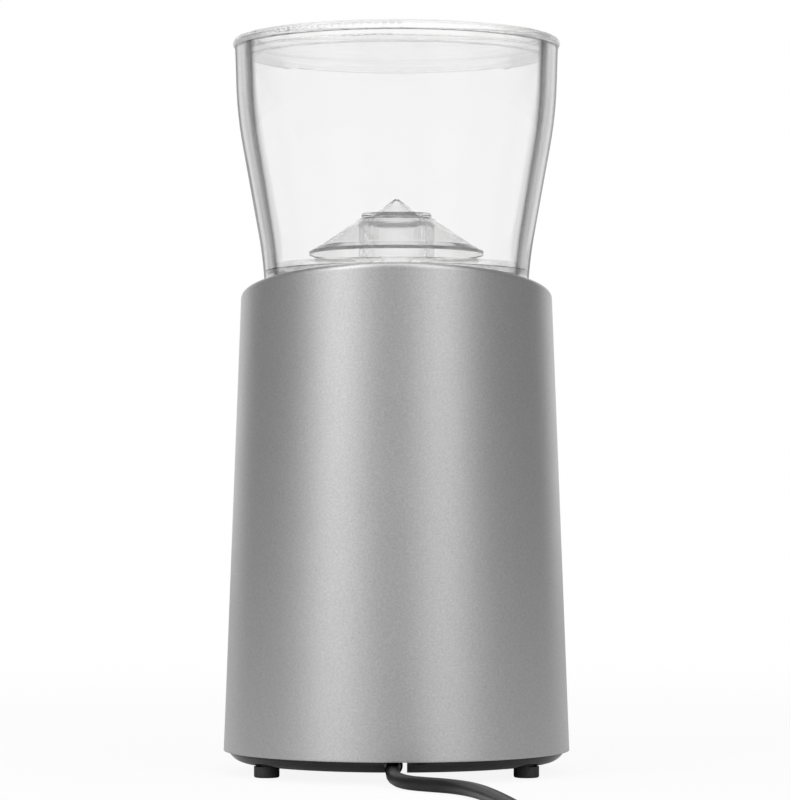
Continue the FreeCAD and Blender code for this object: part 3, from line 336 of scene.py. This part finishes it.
# skins of one noise each: its size and detail, the two colours it runs between, the least roughness
# and how far it rises, and the bump's depth in metres and its strength
moulding = {"size": 1800, "detail": 2.0, "dark": grey(0.02), "pale": grey(0.045),
            "rough": (0.42, 0.15), "bump": (0.00003, 0.5)}
inked = {"size": 3000, "detail": 3.0, "rough": (0.4, 0.15)}
skins = {
    "rubber": {"name": "rubberFoot", "size": 2400, "detail": 2.0, "dark": grey(0.012), "pale": grey(0.03),
               "rough": (0.6, 0.1), "bump": (0.00003, 0.5)},
    "cord": {"name": "leadSkin", "size": 1600, "detail": 2.0, "dark": grey(0.006), "pale": grey(0.014),
             "rough": (0.3, 0.12), "bump": (0.00002, 0.4), "fixed": {"Specular IOR Level": 0.3}},
    "frame": {"name": "paleMoulding", "size": 1500, "detail": 2.0, "dark": (0.66, 0.66, 0.63),
              "pale": (0.74, 0.74, 0.71), "rough": (0.45, 0.1), "bump": (0.00002, 0.4)},
    "liner": {"name": "linerMoulding", **moulding},
    "parts": {"name": "switchMoulding", **moulding},
    "motor": {"name": "motorEnamel", "size": 400, "detail": 3.0, "dark": grey(0.2), "pale": grey(0.27),
              "rough": (0.35, 0.15), "bump": (0.00002, 0.3), "fixed": {"Metallic": 0.5}},
    "steel": {"name": "groundSteel", "size": 1.0, "detail": 3.0, "fineness": 0.6,
              "stretch": (300, 300, 4000), "dark": grey(0.42), "pale": grey(0.62),
              "rough": (0.25, 0.2), "bump": (0.00001, 0.4), "fixed": {"Metallic": 1.0}},
    "nylon": {"name": "castNylon", "size": 700, "detail": 2.0, "dark": (0.74, 0.71, 0.62),
              "pale": (0.82, 0.79, 0.7), "rough": (0.4, 0.1), "bump": (0.00002, 0.3)},
    "bronze": {"name": "bushBronze", "size": 2500, "detail": 3.0, "dark": (0.42, 0.26, 0.1),
               "pale": (0.6, 0.4, 0.18), "rough": (0.3, 0.2), "bump": (0.00001, 0.4),
               "fixed": {"Metallic": 1.0}},
    "board": {"name": "boardResin", "size": 1200, "detail": 1.0, "dark": (0.02, 0.14, 0.06),
              "pale": (0.04, 0.2, 0.09), "rough": (0.3, 0.1), "bump": (0.00001, 0.3)},
    "brass": {"name": "polishedBrass", "size": 300, "detail": 3.0, "dark": (0.72, 0.52, 0.22),
              "pale": (0.82, 0.62, 0.3), "rough": (0.16, 0.12), "bump": (0.00001, 0.2),
              "fixed": {"Metallic": 1.0}},
    "darkPrint": {"name": "darkPrint", **inked, "dark": grey(0.015), "pale": grey(0.04)},
    "palePrint": {"name": "palePrint", **inked, "dark": grey(0.6), "pale": grey(0.74)},
}


def grainSkin(skin):
    def build(f):
        spot = f.spot()
        if "stretch" in skin:
            spot = f.node("ShaderNodeMapping", None, {"Vector": spot, "Scale": skin["stretch"]})["Vector"]
        grain = f.noise(skin["size"], skin["detail"], skin.get("fineness", 0.5), spot)
        least, spread = skin["rough"]
        looks = {"Base Color": f.mixColour(grain, skin["dark"], skin["pale"]),
                 "Roughness": grain * spread + least}
        if "bump" in skin:
            looks["Normal"] = f.bump(grain, *skin["bump"])
        return looks
    return build


def makeFinishes():
    whole = clear["fixed"]
    thin = {**whole, "IOR": thinClear["ior"]}
    guard = {**thin, "Specular Tint": grey(thinClear["guardTint"])}
    made = {
        "silver": surface("silverPaint", silver["fixed"], silverPaint),
        "black_gloss": surface("baseGloss", {"Specular IOR Level": black["baseLevel"]}, mouldedBlack),
        "trim": surface("trimGloss", {}, mouldedBlack),
        "clear": surface("clearPlastic", thin, thinClearSkin(thinClear["lid"])),
        "clearGuard": surface("clearGuard", guard, thinClearSkin(thinClear["guard"])),
        "clearBox": surface("clearBox", {**whole, "Specular Tint": grey(clear["boxTint"])}, clearSkin),
        "clearWall": surface("clearWall", whole, clearWallSkin),
    }
    for slot, skin in skins.items():
        made[slot] = surface(skin["name"], skin.get("fixed", {}), grainSkin(skin))
    return made


ownFinish = {"hopper": "clearWall", "finger_guard": "clearGuard",
             "container": "clearBox", "container_lid": "clearBox"}


def dressNodes(finishes):
    for entry in frame["record"]["subparts"]:
        mesh = nodes[entry["node"]].data
        mesh.materials.clear()
        mesh.materials.append(finishes[ownFinish.get(entry["node"], entry["material_slot"])])


# scale round the dial, the dial's pointer and the start button's sign, in millimetres
scale = {"count": 11, "sweep": 300, "inner": 17.6, "short": 19.4, "long": 20.8, "longEvery": 5,
         "wide": 0.7, "proud": 0.05, "sunk": 0.1}
pointer = {"from": 6.3, "to": 12.4, "wide": 1.2, "proud": 0.3, "sunk": 0.05}
sign = {"radius": 2.5, "gapDeg": 76, "stem": (1.2, 3.3), "wide": 0.5, "proud": 0.05, "sunk": 0.1}
sheet = {"barSteps": (6, 2), "arcSteps": (40, 2), "castFrom": -0.2}


def skinOf(name):
    mesh = nodes[name].data
    return BVHTree.FromPolygons([v.co for v in mesh.vertices], [face.vertices for face in mesh.polygons])


def centreOf(name):
    low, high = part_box(name)
    return (low[0] + high[0]) / 2, (low[2] + high[2]) / 2


def laySheet(bm, skin, place, steps, size):
    # a thin closed patch that follows the skin behind it; place turns two shares into x and z in metres
    rows = []
    for i in range(steps[0] + 1):
        row = []
        for j in range(steps[1] + 1):
            x, z = place(i / steps[0], j / steps[1])
            spot, normal, _, _ = skin.ray_cast(Vector((x, sheet["castFrom"], z)), Vector((0, 1, 0)))
            row.append((bm.verts.new(spot + normal * size["proud"] / 1000),
                        bm.verts.new(spot - normal * size["sunk"] / 1000)))
        rows.append(row)
    for i in range(steps[0]):
        for j in range(steps[1]):
            four = (rows[i][j], rows[i][j + 1], rows[i + 1][j + 1], rows[i + 1][j])
            bm.faces.new([pair[0] for pair in four])
            bm.faces.new([pair[1] for pair in reversed(four)])
    rim = rows[0][:-1] + [row[-1] for row in rows[:-1]] + rows[-1][:0:-1] + [row[0] for row in rows[:0:-1]]
    for one, other in zip(rim, rim[1:] + rim[:1]):
        bm.faces.new((one[0], one[1], other[1], other[0]))


def layBar(bm, skin, centre, angle, reach, size):
    # a straight bar along a radius; the angle is clockwise from the top as the user sees it
    turn = math.radians(angle)

    def place(along, across):
        out = reach[0] + (reach[1] - reach[0]) * along
        side = size["wide"] * (across - 0.5)
        x = out * math.sin(turn) + side * math.cos(turn)
        z = out * math.cos(turn) - side * math.sin(turn)
        return centre[0] + x / 1000, centre[1] + z / 1000
    laySheet(bm, skin, place, sheet["barSteps"], size)


def layArc(bm, skin, centre, size):
    half = math.radians(size["gapDeg"] / 2)

    def place(along, across):
        turn = half + (2 * math.pi - 2 * half) * along
        out = size["radius"] + size["wide"] * (across - 0.5)
        return centre[0] + out * math.sin(turn) / 1000, centre[1] + out * math.cos(turn) / 1000
    laySheet(bm, skin, place, sheet["arcSteps"], size)


def finishMark(name, bm, body, finish):
    bmesh.ops.recalc_face_normals(bm, faces=bm.faces)
    mesh = bpy.data.meshes.new(name)
    bm.to_mesh(mesh)
    bm.free()
    piece = bpy.data.objects.new(name, mesh)
    sceneNow.collection.objects.link(piece)
    mesh.materials.append(finish)
    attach(piece, body)


def makeMarks(finishes):
    housing, centre = skinOf("housing_shell"), centreOf("dial")
    bm = bmesh.new()
    for k in range(scale["count"]):
        angle = scale["sweep"] * (k / (scale["count"] - 1) - 0.5)
        end = scale["long"] if k % scale["longEvery"] == 0 else scale["short"]
        layBar(bm, housing, centre, angle, (scale["inner"], end), scale)
    finishMark("dialScale", bm, "base", finishes["darkPrint"])
    bm = bmesh.new()
    layBar(bm, skinOf("dial"), centre, 0, (pointer["from"], pointer["to"]), pointer)
    finishMark("dialPointer", bm, "dial", finishes["palePrint"])
    bm = bmesh.new()
    button, centre = skinOf("start_button"), centreOf("start_button")
    layArc(bm, button, centre, sign)
    layBar(bm, button, centre, 0, sign["stem"], sign)
    finishMark("buttonSign", bm, "button", finishes["palePrint"])


# studio: shares of white for what each kind of ray meets, then the lamps
studio = {
    "frontGrey": 0.18, "backWhite": 1.0, "backFrom": -0.55, "backFull": -0.9, "fill": 0.62,
    "glow": {"left": (43, 17, 3.1), "right": (-33, 16, 2.45)},  # bearing and width in degrees, level
    "glowFall": -0.7, "glowFrom": -0.14, "glowFull": 0.4,
    "cards": 8, "cardGrey": 0.75, "cardEdge": (-0.55, -0.1),
    "floorHalf": 6, "floorWhite": 0.8, "floorGlow": 0.9, "floorNear": 0.1, "floorFar": 0.9,
    "lamps": {"left": (41, 0.75, 5.6), "right": (-32, 0.6, 3.75)},  # bearing in degrees, width, power
    "lampNear": 1.0, "lampHeight": 0.55, "lampTall": 0.9, "aim": (0, 0, 0.14),
    "overhead": {"spot": (0, 0.1, 1.1), "side": 0.8, "power": 1.6}, "bounces": 32,
}


def emptyTree(owner):
    owner.use_nodes = True
    owner.node_tree.nodes.clear()
    return Finish(owner.node_tree)


def makeWorld():
    # white where the camera looks; grey in front for the paint, soft grey cards all round for clear plastic
    world = bpy.data.worlds.new("studio")
    sceneNow.world = world
    f = emptyTree(world)
    ways = f.node("ShaderNodeLightPath")
    direction = f.node("ShaderNodeSeparateXYZ", None, {0: f.node("ShaderNodeTexCoord")["Generated"]})
    mirrored = f.ease(direction["Y"], studio["backFrom"], studio["backFull"],
                      studio["frontGrey"], studio["backWhite"])
    bearing = direction["X"].op("ARCTAN2", direction["Y"])
    rising = f.ease(direction["Z"], studio["glowFrom"], studio["glowFull"])
    for angle, width, level in studio["glow"].values():
        off = (bearing - math.radians(angle)) * (1 / math.radians(width))
        bell = f.node("ShaderNodeMath", {"operation": "EXPONENT"}, {0: off * off * studio["glowFall"]})
        mirrored = mirrored + bell["Value"] * rising * level
    wave = f.node("ShaderNodeMath", {"operation": "COSINE"}, {0: bearing * studio["cards"]})
    through = f.ease(wave["Value"], *studio["cardEdge"], studio["cardGrey"])

    def sky(strength):
        inputs = {"Color": (1, 1, 1, 1), "Strength": strength}
        return f.node("ShaderNodeBackground", None, inputs)["Background"]
    last = sky(studio["fill"])
    levels = {"Is Glossy Ray": mirrored, "Is Transmission Ray": through, "Is Camera Ray": 1.0}
    for way, strength in levels.items():
        last = f.node("ShaderNodeMixShader", None, {0: ways[way], 1: last, 2: sky(strength)})["Shader"]
    f.node("ShaderNodeOutputWorld", None, {0: last})


def makeFloor():
    # what the camera sees of the floor glows white far out, and takes the shadows near the grinder
    half = studio["floorHalf"]
    corners = [(-half, -half, 0), (half, -half, 0), (half, half, 0), (-half, half, 0)]
    mesh = bpy.data.meshes.new("floor")
    mesh.from_pydata(corners, [], [(0, 1, 2, 3)])
    floor = bpy.data.objects.new("floor", mesh)
    sceneNow.collection.objects.link(floor)
    material = bpy.data.materials.new("floorWhite")
    f = emptyTree(material)
    ways = f.node("ShaderNodeLightPath")
    seenWay = ways["Is Camera Ray"].op("MAXIMUM", ways["Is Transmission Ray"])
    away = f.node("ShaderNodeVectorMath", {"operation": "LENGTH"}, {0: f.spot()})["Value"]
    glowing = f.ease(away, studio["floorNear"], studio["floorFar"], studio["floorGlow"])
    paper = f.node("ShaderNodeBsdfDiffuse", None, {"Color": (*grey(studio["floorWhite"]), 1)})
    glow = f.node("ShaderNodeEmission", None, {"Color": (1, 1, 1, 1), "Strength": 1.0})
    layers = {0: seenWay * glowing, 1: paper["BSDF"], 2: glow["Emission"]}
    mixed = f.node("ShaderNodeMixShader", None, layers)
    f.node("ShaderNodeOutputMaterial", None, {0: mixed["Shader"]})
    mesh.materials.append(material)


def lamp(name, spot, width, height, power):
    data = bpy.data.lights.new(name, "AREA")
    data.shape = "RECTANGLE"
    data.size = width
    data.size_y = height
    data.energy = power
    made = bpy.data.objects.new(name, data)
    made.location = spot
    made.rotation_euler = (Vector(studio["aim"]) - Vector(spot)).to_track_quat("-Z", "Y").to_euler()
    sceneNow.collection.objects.link(made)
    made.visible_camera = False
    made.visible_transmission = False
    made.visible_glossy = name == "overhead"


def makeLights():
    for name, (angle, width, power) in studio["lamps"].items():
        turn = math.radians(90 - angle)
        away = studio["lampNear"]
        spot = (away * math.cos(turn), away * math.sin(turn), studio["lampHeight"])
        lamp(name, spot, width, studio["lampTall"], power)
    over = studio["overhead"]
    lamp("overhead", over["spot"], over["side"], over["side"], over["power"])
    sceneNow.cycles.max_bounces = studio["bounces"]
    sceneNow.cycles.transmission_bounces = studio["bounces"]


sceneNow.view_settings.view_transform = "Standard"
placeCamera()
mainsLead = makeLead()
print("camera and lead placed")
finishes = makeFinishes()
dressNodes(finishes)
mainsLead.data.materials.append(finishes["cord"])
print("finishes on", len(nodes), "nodes")
makeMarks(finishes)
print("front marks laid")
makeWorld()
makeFloor()
makeLights()
print("studio lit")
bpy.context.view_layer.update()
